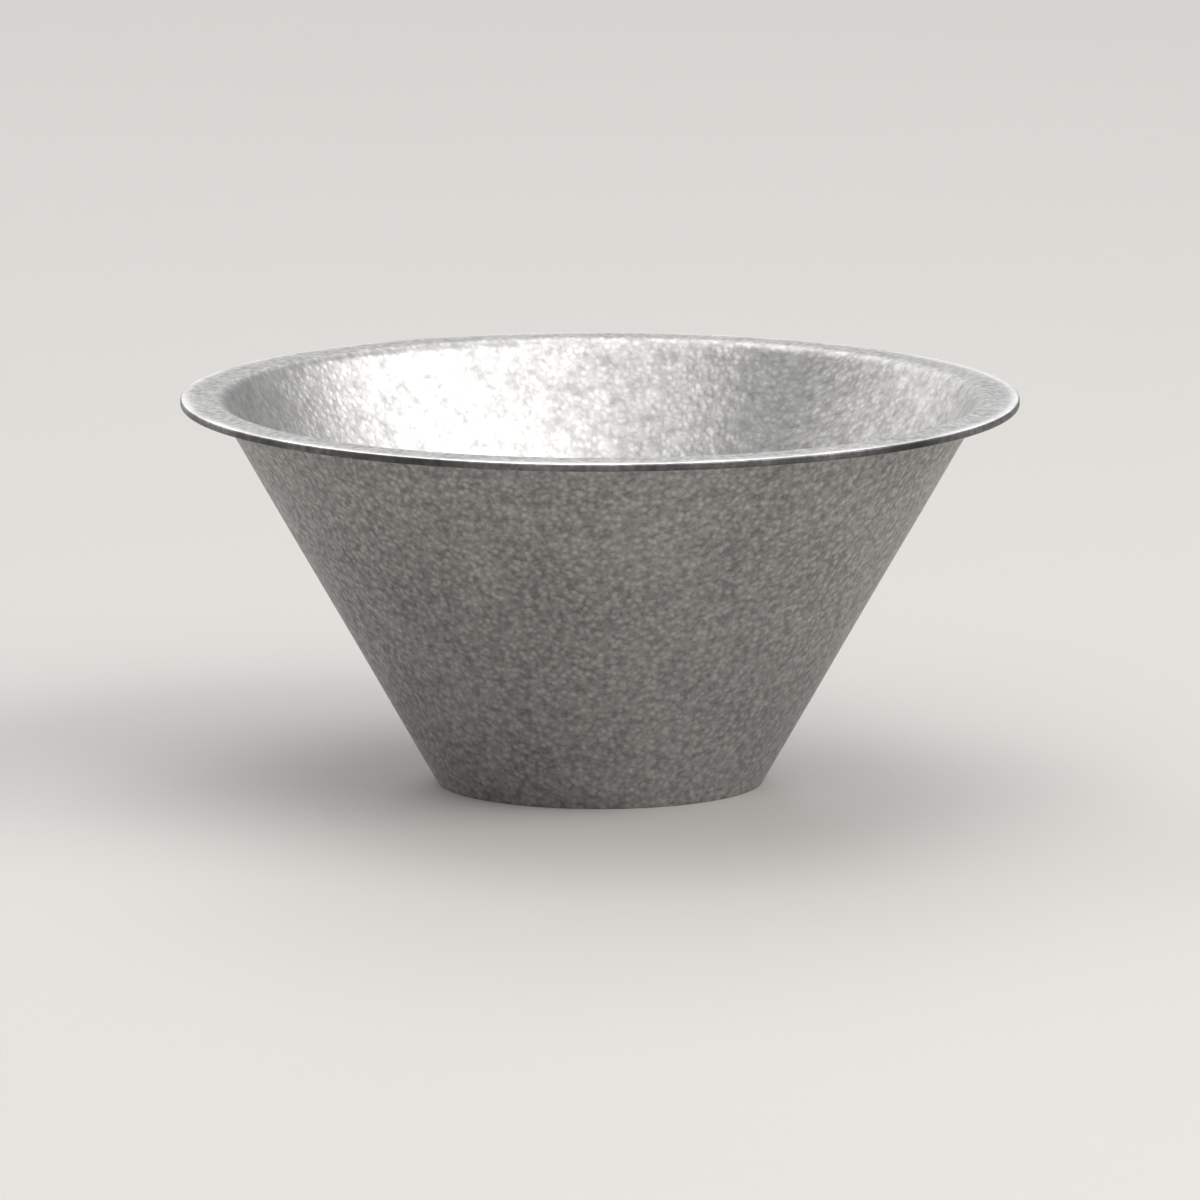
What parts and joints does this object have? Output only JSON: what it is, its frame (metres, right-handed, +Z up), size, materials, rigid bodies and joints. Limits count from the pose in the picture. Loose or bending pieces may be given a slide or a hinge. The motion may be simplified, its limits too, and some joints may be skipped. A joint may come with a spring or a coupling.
{
  "type": "dosing funnel",
  "caption": "Small sheet-metal funnel: a plain steep cone open at both ends, with a flat lip round the wide mouth. It stands on its narrow foot.",
  "frame": {"origin": "centre of the foot, the small open end that the funnel stands on", "axes": "+Z up along the cone's axis, towards the mouth; X and Y are free, because the part is round"},
  "size_m": [0.085, 0.085, 0.0395],
  "materials": {
    "blasted_steel": "matte, bead-blasted all over"
  },
  "bodies": {
    "root": {"funnel_body": "blasted_steel"}
  },
  "joints": []
}
